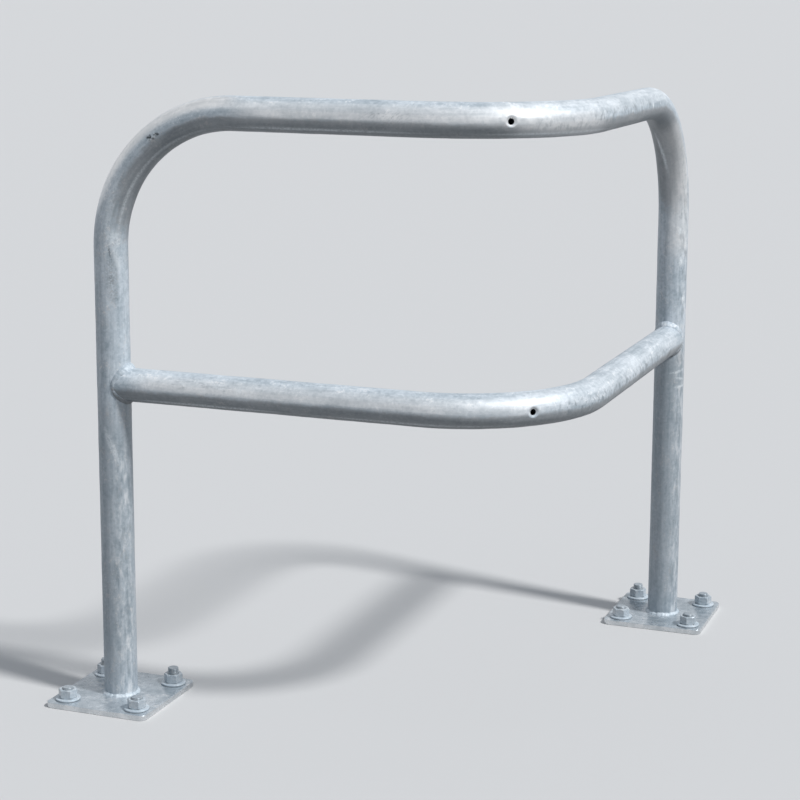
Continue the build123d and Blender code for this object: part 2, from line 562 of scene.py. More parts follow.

# %% [markdown]
# ## Marks in patches
#
# Patches are ovals: how far along in metres, at which angle, half the length and half the width in
# millimetres, how far turned in degrees, and how strong. Among them are a dark smear on the left post, lumps
# and pale spots on the right post, a thin pale line low along both rails, and two painted reflections: thin
# pale lines along the insides of the left and right bends.

# %% Where the patches lie
patches = {
    "dark_patches": [
        (0.772, 120, 38, 12, 0, 0.34),
        (0.790, 119, 22, 5.5, -8, 0.42),
        (0.766, 118, 11, 6.0, 10, 0.58),
        (0.742, 124, 20, 9.0, 0, 0.38),
        (2.900, 120, 12, 9.0, 0, 0.35),
        (2.878, 140, 6, 5.0, 0, 0.4),
        (2.690, 104, 9, 5.0, 10, 0.45),
        (2.740, 100, 7, 4.0, -10, 0.45),
        (1.979, 72, 5, 4.0, 0, 0.35),
        (2.040, 78, 6, 5.0, 20, 0.35),
        (2.150, 79, 5, 4.0, 0, 0.5),
        (MID + 1.020, 86, 8, 6.0, -20, 0.35),
        (MID + 1.175, 98, 9, 6.0, 30, 0.35),
        (MID + 1.215, 88, 9, 6.0, -10, 0.4),
        (MID + 1.395, 112, 16, 8.0, 20, 0.5),
        (MID + 1.352, 126, 12, 5.0, 60, 0.5),
    ],
    "pale_ovals_and_reflection": [
        (0.838, 128, 15, 13, 20, 0.45),
        (0.802, 138, 22, 5, 10, 0.5),
        (0.900, 96, 60, 7, 5, 0.3),
        # A painted reflection: a thin pale line along the inside of the left bend.
        (1.000, 143, 150, 3.0, 0, 0.38),
        (1.370, 135, 150, 2.8, 0, 0.7),
        (1.780, 136, 130, 2.8, 0, 0.5),
        (2.169, 88, 5, 5, 0, 0.9),
        # A painted reflection: a bright streak along the inside of the right bend.
        (2.450, 194, 58, 3.2, 6, 0.9),
        (2.646, 138, 6, 4.5, 0, 0.9),
        (2.706, 134, 8, 4.0, 0, 0.8),
        (2.782, 116, 6, 4.5, 0, 0.9),
        (0.470, 104, 34, 6, 24, 0.45),
        (MID + 0.190, 136, 130, 3.0, 0, 0.65),
        (MID + 0.560, 136, 150, 2.8, 0, 0.55),
        (MID + 0.222, 60, 9, 5.0, 0, 0.5),
        (MID + 0.258, 72, 8, 4.5, 30, 0.45),
        (MID + 0.060, 60, 14, 8, 0, 0.35),
    ],
}
print("patches:", {patch: len(own) for patch, own in patches.items()})

# %% [markdown]
# The mesh has a point every few millimetres, fine enough for these ovals with their soft edges. All shares
# are kept as attributes of the mesh, which the tubes' material reads by name.

# %% Keep the marks on a tube
def patch_share(places, own_patches):
    """The strength of the oval patch that covers each straight place, or 0 outside all of them.

    In a patch's own turned directions, a place is √((along / half length)² + (across / half width)²) away
    from its middle, and the strength fades out where that goes from 0.5 to 1.5.
    """
    share = np.zeros(len(places))
    for distance, middle, half_length, half_width, turn, strength in own_patches:
        forward = places[:, 2] - distance
        sideways = np.radians(degrees_apart(places, middle)) * tube_radius
        lean = np.radians(turn)
        along = forward * np.cos(lean) - sideways * np.sin(lean)
        across = forward * np.sin(lean) + sideways * np.cos(lean)
        away = np.hypot(along / (half_length * MM), across / (half_width * MM))
        share = np.maximum(share, strength * soft_step(1.5 - away))
    return share


def keep_marks(piece, places):
    """Keep each point's place on the tube laid straight, and its shares of all bands and patches."""
    attributes = piece.data.attributes
    attributes.new("straight", "FLOAT_VECTOR", "POINT").data.foreach_set("vector", places.ravel())
    shares = {band: band_share(places, own) for band, own in bands.items()}
    shares |= {patch: patch_share(places, own) for patch, own in patches.items()}
    for share_name, share in shares.items():
        attributes.new(share_name, "FLOAT", "POINT").data.foreach_set("value", share)
        print("  ", share_name, "covers", round(100 * (share > 0.1).mean(), 1), "% of its points")


print("kept with each tube: its place laid straight,", ", ".join([*bands, *patches]))

# %% [markdown]
# ## The hoop and the mid rail
#
# The hoop carries a few lumps of zinc where the photo shows them: on the outer edge of the right post, in
# the right bend and along the top rail. Each lump is five numbers: how far along the hoop in metres, at
# which angle in degrees, and how high, long and wide in millimetres.

# %% Build both tubes
top_vent_bend = np.radians(35)
mid_vent_bend = np.radians(45)
top_vent_distance = starts["corner"] + top_vent_bend * bend_radius
mid_vent_distance = leg_length - bend_radius + mid_vent_bend * bend_radius
hoop_lumps = [
    (2.646, 138, 0.9, 9, 4),
    (2.706, 134, 0.8, 7, 4),
    (2.782, 116, 0.6, 5, 3),
    (2.446, 193, 0.5, 30, 3),
    (1.524, 66, 0.3, 5, 7),
    (0.836, 122, 0.3, 14, 8),
    (2.169, 88, 0.6, 5, 5),
]


def make_tube(name, line, vent_distance, lumps, saddle_ends, tube_node):
    """A tube's skin with its marks, in place of its CAD node."""
    points, faces, places = hollow_tube(line, vent_distance, lumps, saddle_ends)
    piece = make_piece(name, points, faces, "galvanised_tube", tube_node)
    keep_marks(piece, places)


make_tube("hoop_skin", hoop_line, top_vent_distance, hoop_lumps, False, "hoop_tube")
make_tube("mid_rail_skin", mid_line, mid_vent_distance, [], True, "mid_rail")

# %% [markdown]
# ## Weld beads
#
# A welder lays a bead in short pushes, and each push freezes as a small crescent, so a bead looks like a
# row of overlapping coins. A plain torus would look like a rubber ring. So the bead is a round profile
# carried along a closed path, and its radius rises and falls with the crescents, which lag behind at the
# bead's edges. A slow random swell keeps it from looking machined. Zinc then softens all of it.

# %% A rippled bead along a closed path
bead_around = 28
crescent_lag = 0.6
crescent_lean = 0.6
crescent_middle = 0.6
swell_turns = (3, 5, 8, 13, 21)


def heading_and_distance(path):
    """For a closed path of points: its heading and how far along it each point is, and its length."""
    step = np.roll(path, -1, axis=0) - np.roll(path, 1, axis=0)
    heading = step / np.linalg.norm(step, axis=1)[:, None]
    gaps = np.linalg.norm(np.roll(path, -1, axis=0) - path, axis=1)
    return heading, np.concatenate([[0], np.cumsum(gaps)[:-1]]), gaps.sum()


def bead_skin(path, outward, height, half_width, ripple_length, ripple, swell):
    """A rippled bead round a closed path, with an oval section.

    A point is the path's point + k × (height × cos v × outward + half width × sin v × heading × outward).
    k is 1 + ripple + swell. Once in every ripple length, the ripple rises steeply and falls slowly, as
    √sin(π × (how far through it, from 0 to 1) raised to the lean) less its middle.
    """
    heading, along, total = heading_and_distance(path)
    outward = outward - np.sum(outward * heading, axis=1)[:, None] * heading
    outward /= np.linalg.norm(outward, axis=1)[:, None]
    sideways = np.cross(heading, outward)
    v = np.arange(bead_around) * TURN / bead_around
    lag = crescent_lag * (1 - np.cos(v))
    phase = along[:, None] / total * round(total / ripple_length) - lag[None, :]
    crescents = np.sqrt(np.sin(np.pi * np.mod(phase, 1.0) ** crescent_lean)) - crescent_middle
    slow = sum(np.sin(along / total * TURN * turns + random.uniform(0, TURN)) for turns in swell_turns)
    grown = 1 + ripple * crescents + swell / 3 * slow[:, None]
    reach_out = np.broadcast_to(height, along.shape)[:, None] * grown * np.cos(v)
    reach_side = np.broadcast_to(half_width, along.shape)[:, None] * grown * np.sin(v)
    points = path[:, None] + reach_out[..., None] * outward[:, None]
    points = points + reach_side[..., None] * sideways[:, None]
    points = points.reshape(-1, 3)
    return points, facing_out(points, grid_faces(closed(closed(point_numbers(reach_out), 1), 0)))


print("a bead has", bead_around, "points round its section")

# %% [markdown]
# The bead at a post's foot is a ring in the corner of tube and plate. The bead at the mid rail follows the
# saddle on which the two tubes meet. There the place is (√(cos² + a little), sin, cos) times the tube's
# radius, and the little amount rounds the saddle's two tips. Over and under the rail the tubes meet at a
# right angle and take a full bead, the fuller one on top. At the tips they run side by side, and it is only
# a low, flat strip.

# %% The paths of the beads
path_steps = 520
saddle_bead_heights = (8.0 * MM, 2.2 * MM, 5.0 * MM)
saddle_bead_half_widths = (10.5 * MM, 4.8 * MM, 5.6 * MM)
saddle_bead_sink = 2.0 * MM
foot_bead_height = 3.8 * MM
foot_bead_half_width = 5.6 * MM
posts = {"left": Vector((0, 0, 0)), "right": Vector((leg_length, leg_length, 0))}
rail_headings = {"left": TO_CORNER, "right": -AWAY}


def between(ends, share):
    """The first of two values where the share is 0, the second where it is 1."""
    return ends[0] + (ends[1] - ends[0]) * share


def round_saddle(sizes, t):
    """The first size over the rail, the second at the tips and the third below.

    They are eased by cos t between over and below, and by sin² t towards the tips.
    """
    over_or_below = between((sizes[0], sizes[2]), (1 - np.cos(t)) / 2)
    return between((over_or_below, sizes[1]), np.sin(t) ** 2)


def saddle_bead(side):
    """The bead round a saddle: path, outward directions, height and half width."""
    t = np.arange(path_steps) * TURN / path_steps
    tip_share = np.sin(t) ** 2
    along = np.sqrt((tube_radius * np.cos(t)) ** 2 + (tip_rounding * tip_share) ** 2)
    across = (tube_radius - saddle_bead_sink * tip_share) * np.sin(t)
    up = (tube_radius - saddle_bead_sink * tip_share) * np.cos(t)
    rail = rail_headings[side]
    across_heading = np.cross(UP, rail)
    seat = np.array(posts[side]) + mid_height * UP
    path = seat + along[:, None] * rail + across[:, None] * across_heading + up[:, None] * UP
    clear = np.abs(np.cos(t)) * tube_radius
    outward = clear[:, None] * rail + across[:, None] * across_heading + up[:, None] * UP
    return path, outward, round_saddle(saddle_bead_heights, t), round_saddle(saddle_bead_half_widths, t)


def foot_bead(side):
    """The bead round a foot: a circle along the post, at the plate's top, leaning out and up."""
    t = np.arange(path_steps) * TURN / path_steps
    ring = np.stack([np.cos(t), np.sin(t), np.zeros(path_steps)], axis=1)
    centre = np.array(posts[side]) + plate_top * UP
    return centre + tube_radius * ring, ring + UP, foot_bead_height, foot_bead_half_width


print("a foot bead is", round(TURN * tube_radius / MM), "mm long")

# %% [markdown]
# The zinc has nearly filled the ripples at the mid rail. At the feet they still show, and the bead swells
# more. Each bead's ripple is three numbers: how long one crescent is, how much it ripples, and its swell.

# %% Lay the four beads
saddle_ripple = (5.0 * MM, 0.04, 0.06)
foot_ripple = (5.2 * MM, 0.08, 0.2)

for side in posts:
    saddle_points, saddle_faces = bead_skin(*saddle_bead(side), *saddle_ripple)
    make_piece(f"{side}_saddle_bead", saddle_points, saddle_faces, "galvanised_weld", f"{side}_saddle_weld")
    foot_points, foot_faces = bead_skin(*foot_bead(side), *foot_ripple)
    make_piece(f"{side}_foot_bead", foot_points, foot_faces, "galvanised_weld", f"{side}_foot_weld")

# %% [markdown]
# ## Anchors: stud, washer and nut
#
# Each plate is held by four threaded studs, each with a broad washer and a hexagon nut. All three are
# turned shapes, so each is a closed section of radius and height carried round an axis. What makes them
# real is how the radius changes with the angle: a helix on the stud, six flats with chamfered corners on
# the nut.

# %% A section carried round an axis
turn_steps = 96
even_angles = np.arange(turn_steps) * TURN / turn_steps


def turned_skin(centre, angle, radius, height, is_ring):
    """Points (centre x + radius × cos, centre y + radius × sin, height) for grids of section steps by angles.

    A ring's section is a closed loop. A rod's section starts and ends on the axis, so that the points of its
    first and last rows meet there.
    """
    x = centre.x + radius * np.cos(angle)
    y = centre.y + radius * np.sin(angle)
    points = np.stack([x, y, np.broadcast_to(height, x.shape)], axis=-1).reshape(-1, 3)
    numbers = closed(point_numbers(x), 1)
    if is_ring:
        numbers = closed(numbers, 0)
    return points, facing_out(points, grid_faces(numbers))


def soft_minimum(a, b, width):
    """−width × log(e^(−a/width) + e^(−b/width)), a minimum without a crease."""
    return -width * np.logaddexp(-a / width, -b / width)


print("a turned piece has", turn_steps, "points round its axis")

# %% [markdown]
# The nut's outline is six flats. The distance to the outline at an angle is the apothem divided by a blend
# of the cosines to the six flats. A high power in the blend gives flats with only slightly soft corners,
# and the angles are gathered towards the corners to keep them crisp. A nut is also turned to a cone at both
# ends, and a soft minimum of outline and cone gives the curved chamfers.

# %% The nut
across_flats = 30 * MM
nut_bore = across_flats / 3
nut_bore_edge = 0.8 * MM
nut_end_share = 0.97
nut_rows = 22
nut_face_rings = 7
corner_power = 200
corner_gathering = 0.8
chamfer_slope = np.tan(np.radians(30))
chamfer_softness = 0.12 * MM
nut_turns = {"left": [14, 9, 16, 22], "right": [4, 33, 11, 26]}


def nut_skin(centre, low, high, turn):
    """A hexagon nut between two heights, with a corner at this angle in degrees.

    Its section goes up the outside, in over the top face, down the bore and out over the bottom face.
    """
    angle = np.radians(turn) + even_angles - corner_gathering * np.sin(6 * even_angles) / 6
    flats = np.radians(turn) + (np.arange(6) + 0.5) * TURN / 6
    cosines = np.maximum(np.cos(angle[:, None] - flats), 0)
    outline = across_flats / 2 / (cosines**corner_power).sum(axis=1) ** (1 / corner_power)
    tall = high - low
    climb = tall * (1 - np.cos(np.linspace(0, np.pi, nut_rows))) / 2
    end_radius = across_flats / 2 * nut_end_share
    cone = end_radius + np.minimum(climb, tall - climb) / chamfer_slope
    side = soft_minimum(outline[None, :], cone[:, None], chamfer_softness)
    inward = np.linspace(1, 0, nut_face_rings + 1)[1:, None]
    lip = nut_bore + nut_bore_edge
    top_face = lip + (side[-1] - lip) * inward
    bottom_face = (lip + (side[0] - lip) * inward)[::-1]
    bore_climb = [tall - nut_bore_edge, tall * 0.6, tall * 0.3, nut_bore_edge]
    bore_rows = np.broadcast_to(nut_bore, (len(bore_climb), turn_steps))
    radius = np.concatenate([side, top_face, bore_rows, bottom_face])
    height = np.concatenate([climb, np.full(nut_face_rings, tall), bore_climb, np.zeros(nut_face_rings)])
    return turned_skin(centre, angle, radius, low + height[:, None], True)


print("a nut is", round(across_flats / MM), "mm across flats")

# %% [markdown]
# The washer's section is a rectangle with round corners, its outer edge worn soft and its top slightly
# domed. A flat disc would catch the light as one bright or dark spot.

# %% The washer
washer_steps = 44
washer_width_power = 0.22
washer_height_power = 0.45
washer_dome = 0.07
washer_clearance = 1.1 * MM


def washer_skin(centre, low, high, outer, bore):
    """A washer between two heights and two radii.

    Its section is (middle + half width × c, middle + half height × s × rise), with c and s the cosine and
    sine raised to a small power, sign kept. The rise is 1 − 2 × dome + dome × (1 + s) × (1 − c), which lifts
    the top from the edge to the bore.
    """
    v = np.arange(washer_steps) * TURN / washer_steps
    c = np.sign(np.cos(v)) * np.abs(np.cos(v)) ** washer_width_power
    s = np.sign(np.sin(v)) * np.abs(np.sin(v)) ** washer_height_power
    half_width, half_height = (outer - bore) / 2, (high - low) / 2
    rise = 1 - 2 * washer_dome + washer_dome * (1 + s) * (1 - c)
    radius = (outer + bore) / 2 + half_width * c
    height = low + half_height * (1 + s * rise)
    angle_rows = np.broadcast_to(radius[:, None], (washer_steps, turn_steps))
    return turned_skin(centre, even_angles, angle_rows, height[:, None], True)


print("a washer's bore is", washer_clearance / MM, "mm larger in radius than its stud")

# %% [markdown]
# The stud is a rod whose radius dips in a helix over its threaded end. The rows of points lie ten to a
# pitch there, so the thread is real relief and shows against the light. Below the nut a few rows are enough.

# %% The stud
thread_pitch = 2.5 * MM
thread_depth = 1.3 * MM
thread_roundness = 0.8
threaded_length = 16 * MM
thread_rows = 66
thread_run_out = 2 * MM
plain_rows = 5
plain_start = 1 * MM
cap_rings = 6
foot_rings = 3
top_chamfer = 0.9 * thread_depth
stud_softness = 0.1 * MM


def stud_skin(centre, low, high, radius):
    """A threaded stud between two heights.

    The radius is the stud's radius − depth × a rounded groove, and the groove's phase is height / pitch −
    angle / full turn, which makes it a helix. A chamfer narrows the top.
    """
    thread_levels = np.linspace(high - threaded_length, high, thread_rows)
    plain_levels = np.linspace(low + plain_start, thread_levels[0] - thread_run_out, plain_rows)
    levels = np.concatenate([[low], plain_levels, thread_levels])
    phase = levels[:, None] / thread_pitch - even_angles[None, :] / TURN
    groove = (0.5 + 0.5 * np.cos(TURN * phase)) ** thread_roundness
    fade = np.clip((levels - thread_levels[0]) / thread_run_out, 0, 1)[:, None]
    body = radius - thread_depth * groove * fade
    chamfer = radius - top_chamfer + (high - levels)[:, None]
    body = soft_minimum(body, chamfer, stud_softness)
    cap = body[-1] * np.linspace(1, 0, cap_rings + 1)[1:, None]
    foot = body[:1] * np.linspace(0, 1, foot_rings + 1)[:-1, None]
    radii = np.concatenate([foot, body, cap])
    heights = np.concatenate([np.full(len(foot), low), levels, np.full(len(cap), high)])
    return turned_skin(centre, even_angles, radii, heights[:, None], False)


print("a stud has", round(threaded_length / thread_pitch, 1), "turns of thread")

# %% [markdown]
# Heights and radii of the anchors come from the boxes of their CAD nodes. The nuts have stopped at angles
# of their own, and a few of the studs stand higher than the others.

# %% Set the eight anchors
for side in posts:
    for number in range(1, 5):
        stud_low, stud_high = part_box(f"{side}_stud_{number}")
        washer_low, washer_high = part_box(f"{side}_washer_{number}")
        nut_low, nut_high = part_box(f"{side}_nut_{number}")
        centre = (stud_low + stud_high) / 2
        stud_radius = (stud_high.x - stud_low.x) / 2
        washer_radius = (washer_high.x - washer_low.x) / 2
        washer_bore = stud_radius + washer_clearance
        stud = stud_skin(centre, stud_low.z, stud_high.z, stud_radius)
        washer = washer_skin(centre, washer_low.z, washer_high.z, washer_radius, washer_bore)
        nut = nut_skin(centre, nut_low.z, nut_high.z, nut_turns[side][number - 1])
        make_piece(f"{side}_threaded_stud_{number}", *stud, "zinc_stud", f"{side}_stud_{number}")
        make_piece(f"{side}_domed_washer_{number}", *washer, "zinc_washer", f"{side}_washer_{number}")
        make_piece(f"{side}_chamfered_nut_{number}", *nut, "zinc_nut", f"{side}_nut_{number}")

# %% [markdown]
# ## The galvanised finish
#
# Hot-dip zinc is a dull, cool grey metal with three scales of pattern: soft clouds as long as a hand,
# mottled patches of about a centimetre where crystals froze at different speeds, and fine streaks along the
# tube where zinc drained. Undersides get painted shade: their colour is darker. An image would
# repeat and stretch, so the pattern is noise. On tubes it reads the place on the tube laid straight.

# %% Small helpers for node trees
def node(tree, kind, inputs=None, **settings):
    """A new shader node. An input is given a value, or a link if it is another node's socket."""
    made = tree.nodes.new(kind)
    for setting, value in settings.items():
        setattr(made, setting, value)
    for socket, value in (inputs or {}).items():
        if isinstance(value, bpy.types.NodeSocket):
            tree.links.new(value, made.inputs[socket])
        else:
            made.inputs[socket].default_value = value
    return made


def scaled(tree, vector, scale):
    """The vector with each part multiplied by its own factor."""
    return node(tree, "ShaderNodeMapping", {"Vector": vector, "Scale": scale}).outputs[0]


def noise(tree, vector, scale, detail=3, roughness=0.5, distortion=0):
    """Noise from 0 to 1, with this many waves to the metre."""
    inputs = {"Vector": vector, "Scale": scale, "Detail": detail, "Roughness": roughness}
    return node(tree, "ShaderNodeTexNoise", inputs | {"Distortion": distortion}).outputs[0]


def stretched(tree, value, low, high, to_low=0.0, to_high=1.0, smooth=True):
    """The value's range low to high mapped on another range, eased at both ends if smooth."""
    inputs = {"Value": value, "From Min": low, "From Max": high, "To Min": to_low, "To Max": to_high}
    kind = "SMOOTHSTEP" if smooth else "LINEAR"
    return node(tree, "ShaderNodeMapRange", inputs, interpolation_type=kind).outputs[0]


def maths(tree, operation, a, b):
    """Two values through one operation."""
    return node(tree, "ShaderNodeMath", {0: a, 1: b}, operation=operation).outputs[0]


def weighted_sum(tree, parts):
    """The sum of value × weight over pairs of a value and its weight."""
    total = 0.0
    for value, weight in parts:
        added = {0: value, 1: weight, 2: total}
        total = node(tree, "ShaderNodeMath", added, operation="MULTIPLY_ADD").outputs[0]
    return total


def mixed(tree, share, a, b):
    """Colour a where the share is 0 and colour b where it is 1."""
    return node(tree, "ShaderNodeMix", {0: share, 6: a, 7: b}, data_type="RGBA").outputs[2]


zinc_tint = (0.84, 1.0, 1.125)
pale_tint = (0.915, 1.0, 1.075)
no_tint = (1.0, 1.0, 1.0)


def grey(level, tint=zinc_tint):
    """A grey of this level, times a tint of red, green and blue, as a colour with alpha."""
    return (level * tint[0], level * tint[1], level * tint[2], 1.0)


def attribute(tree, name, output="Fac"):
    """What is kept under this name at the points of the mesh."""
    return node(tree, "ShaderNodeAttribute", attribute_name=name).outputs[output]


print("mid grey zinc is", grey(0.5)[:3])

# %% [markdown]
# A few marks are finer than the tube's own mesh: three pits in the left bend, a crack-like line below them,
# and three thin dribbles round the right post. They are ovals too, described as the patches are, but
# measured in the material itself. Noise makes their edges ragged.

# %% Fine marks on the tubes
dark_marks = [
    (1.045, 84, 4.4, 3.6, 0, 1.0),
    (1.059, 88, 5.4, 2.8, -25, 1.0),
    (1.050, 95, 3.0, 2.6, 0, 0.9),
    (0.814, 114, 10, 2.2, 14, 0.55),
]
pale_marks = [
    (2.929, 125, 2.6, 15, 12, 0.38),
    (2.944, 118, 2.2, 13, -8, 0.38),
    (2.960, 112, 2.4, 13, 6, 0.38),
]
mark_depth = 20 * MM


def marks_on(tree, place, marks, ragged):
    """The strength of the mark that covers a place, or 0 outside all of them, with ragged soft edges."""
    total = 0.0
    for distance, degrees, half_length, half_width, turn, strength in marks:
        angle = np.radians(degrees)
        centre = (tube_radius * np.cos(angle), tube_radius * np.sin(angle), distance)
        own_place = {
            "Vector": place,
            "Location": centre,
            "Rotation": (np.radians(turn), 0, angle),
            "Scale": (mark_depth, half_width * MM, half_length * MM),
        }
        oval = node(tree, "ShaderNodeMapping", own_place, vector_type="TEXTURE").outputs[0]
        away = node(tree, "ShaderNodeVectorMath", {0: oval}, operation="LENGTH").outputs["Value"]
        inside = stretched(tree, maths(tree, "ADD", away, ragged), 1.45, 0.45, 0.0, strength)
        total = maths(tree, "MAXIMUM", total, inside)
    return total


print("fine marks:", len(dark_marks), "dark and", len(pale_marks), "pale")

# %% [markdown]
# Every zinc surface is made of the same seven noises. They are mixed with different weights for the colour,
# the white bloom of the palest places, the roughness and the bump. Their scales suit the tubes. Other pieces
# multiply them all by a pattern number of their own, apart from the grain, which is as fine everywhere.

# %% The noises of a zinc surface
waves_per_metre = dict(clouds=11, patches=44, mottle=120, streaks=160, crystals=210, specks=300, grain=900)
patch_draw = 0.5
streak_draw = 0.09


def zinc_noises(tree, place, pattern, on_tube):
    """The seven noises by name. Patches and streaks are drawn out along a tube."""
    scale = {name: waves * pattern for name, waves in waves_per_metre.items()}
    patch_place = scaled(tree, place, (1, 1, patch_draw if on_tube else 1))
    streak_place = scaled(tree, place, (1, 1, streak_draw if on_tube else 1))
    cells = node(tree, "ShaderNodeTexVoronoi", {"Vector": place, "Scale": scale["crystals"]}, feature="F1")
    return {
        "clouds": noise(tree, place, scale["clouds"], detail=2),
        "patches": noise(tree, patch_place, scale["patches"], roughness=0.55, distortion=0.8),
        "mottle": noise(tree, place, scale["mottle"], detail=4, roughness=0.62, distortion=0.5),
        "streaks": noise(tree, streak_place, scale["streaks"], roughness=0.55),
        "crystals": node(tree, "ShaderNodeSeparateColor", {0: cells.outputs["Color"]}).outputs[0],
        "specks": noise(tree, place, scale["specks"], detail=2, distortion=0.4),
        "grain": noise(tree, place, waves_per_metre["grain"], roughness=0.6),
    }


def blend_of(tree, noises, **weights):
    """The sum of the named noises, each times its weight."""
    return weighted_sum(tree, [(noises[name], weight) for name, weight in weights.items()])


for name, waves in waves_per_metre.items():
    print(f"{name}: one wave is {1 / waves / MM:.1f} mm long")

# %% [markdown]
# A tube's own marks come on top of its zinc, each as a share of another colour. Patches and fine marks are
# either dark or pale. The strokes need no table: a noise drawn out in one direction gives them, and a band
# says where they show. Dashes lie across the tube, zinc specks and painted glints curl along it, and scuffs
# lean.

# %% The marks of a tube
dash_waves, curl_waves, scuff_waves = 170, 105, 120


def in_band(tree, value, low, high, band):
    """The value's range low to high as a share from 0 to 1, only where the tube has this band."""
    return maths(tree, "MULTIPLY", stretched(tree, value, low, high), attribute(tree, band))


def ovals_on(tree, place, noises):
    """The shares of all dark and all pale ovals, those kept at the points and the fine ones."""
    torn = blend_of(tree, noises, mottle=0.5, specks=0.5)
    ragged = stretched(tree, torn, 0.35, 0.65, -0.7, 0.7, smooth=False)
    speckled = stretched(tree, noises["specks"], 0.35, 0.6, 0.4, 1.0)
    shares = []
    for marks, patch in ((dark_marks, "dark_patches"), (pale_marks, "pale_ovals_and_reflection")):
        broad = maths(tree, "MULTIPLY", attribute(tree, patch), speckled)
        shares.append(maths(tree, "MAXIMUM", marks_on(tree, place, marks, ragged), broad))
    return shares


def strokes_on(tree, place):
    """The shares of dark dashes, of bright strokes (painted glints and pale scuffs) and of dull strokes."""
    dash_place = scaled(tree, place, (0.5, 0.5, 1))
    curl_place = scaled(tree, place, (1, 1, 0.3))
    leaning = {"Vector": place, "Rotation": (np.radians(35), 0, np.radians(70)), "Scale": (1, 0.3, 1)}
    scuff_place = node(tree, "ShaderNodeMapping", leaning, vector_type="TEXTURE").outputs[0]
    dashes = noise(tree, dash_place, dash_waves, roughness=0.6, distortion=0.3)
    curls = noise(tree, curl_place, curl_waves, detail=4, roughness=0.65, distortion=0.3)
    scuffs = noise(tree, scuff_place, scuff_waves, detail=2, distortion=0.5)
    # The white curls are painted glints.
    painted_glint_curls = in_band(tree, curls, 0.46, 0.70, "glint_and_specks")
    bright_scuffs = in_band(tree, scuffs, 0.54, 0.64, "scuffs")
    dull_curls = in_band(tree, curls, 0.48, 0.34, "glint_and_specks")
    dull_scuffs = in_band(tree, scuffs, 0.46, 0.36, "scuffs")
    bright = maths(tree, "MAXIMUM", painted_glint_curls, bright_scuffs)
    dull = maths(tree, "MAXIMUM", dull_curls, dull_scuffs)
    return in_band(tree, dashes, 0.5, 0.62, "dashes"), bright, dull


def with_marks(tree, place, noises, colour, painted_highlight_grey, height):
    """The colour and the bump height of a tube, with all its marks laid over its zinc.

    A layer is a share and the colour that it shows, and strokes only show at part of their share. Pale and
    bright marks stand up in the bump, dark ones and dashes lie deeper.
    """
    dark, pale = ovals_on(tree, place, noises)
    dashes, bright, dull = strokes_on(tree, place)
    layers = [
        # Painted highlight: paler colour in its bands.
        (attribute(tree, "painted_highlight"), painted_highlight_grey),
        # Painted shade: darker colour in its bands.
        (attribute(tree, "painted_shade"), grey(0.22)),
        # Pale patches, among them the painted reflections in the bends.
        (pale, grey(0.95, (0.95, 1.0, 1.03))),
        (dark, grey(0.08)),
        (maths(tree, "MULTIPLY", dashes, 0.64), grey(0.22)),
        # Bright strokes: painted glints, and pale scuffs.
        (maths(tree, "MULTIPLY", bright, 0.4), grey(0.95, no_tint)),
        (maths(tree, "MULTIPLY", dull, 0.35), grey(0.18)),
    ]
    for share, layer in layers:
        colour = mixed(tree, share, colour, layer)
    relief = ((height, 1.0), (pale, 0.35), (dark, -0.5), (dashes, -0.25), (bright, 0.4))
    return colour, weighted_sum(tree, relief)


print("laid over a tube's zinc:", ", ".join([*bands, *patches]), "and the fine marks")

# %% [markdown]
# Now the colour itself. The tone leads from a dark to a light grey. The palest patches bloom white, and
# undersides are painted darker and warmer, as shade, with a ragged edge. How far a face looks up is read from
# its normal, so the painted shade stays where it is in every view.

# %% The greys of zinc
bloom_strength = 0.65
brightest_white = 0.95
# The warmer grey of the painted shade on faces that look down.
downward_shade_tint = (1.05, 1.0, 0.98)


def zinc_tone(tree, noises):
    """How light the zinc is, from 0 to 1."""
    weights = dict(clouds=0.20, patches=0.20, mottle=0.20, streaks=0.24, crystals=0.06, grain=0.10)
    return stretched(tree, blend_of(tree, noises, **weights), 0.40, 0.60, smooth=False)


def zinc_colour(tree, noises, tone, rise, greys, downward_shade):
    """The tone between two greys, white where patches bloom, and painted shade of this share where faces look
    down.
    """
    colour = mixed(tree, tone, grey(greys[0]), grey(greys[1], pale_tint))
    bloom = stretched(tree, blend_of(tree, noises, patches=0.35, mottle=0.35, specks=0.3), 0.54, 0.64)
    white = grey(min(greys[1] * 1.25, brightest_white), no_tint)
    colour = mixed(tree, maths(tree, "MULTIPLY", bloom, bloom_strength), colour, white)
    # Painted shade: faces that look down get a darker, warmer grey, with a ragged edge.
    ragged_rise = weighted_sum(tree, ((rise, -1.0), (noises["patches"], 0.35), (noises["mottle"], 0.35)))
    below = maths(tree, "MULTIPLY", stretched(tree, ragged_rise, 0.32, 0.60), downward_shade)
    return mixed(tree, below, colour, grey(greys[0] * 0.4, downward_shade_tint))


print("the palest zinc blooms", round(100 * bloom_strength), "% of the way to white")

# %% [markdown]
# The recipe puts all of it together. Where a tube has its painted reflection, and on side faces if they are
# given a painted edge highlight, the colour is painted paler and the zinc more metallic, so it mirrors more.
# A duller place is also a rougher one.

# %% The recipe for every zinc surface
bump_strength = 0.6
bump_height = 0.45 * MM


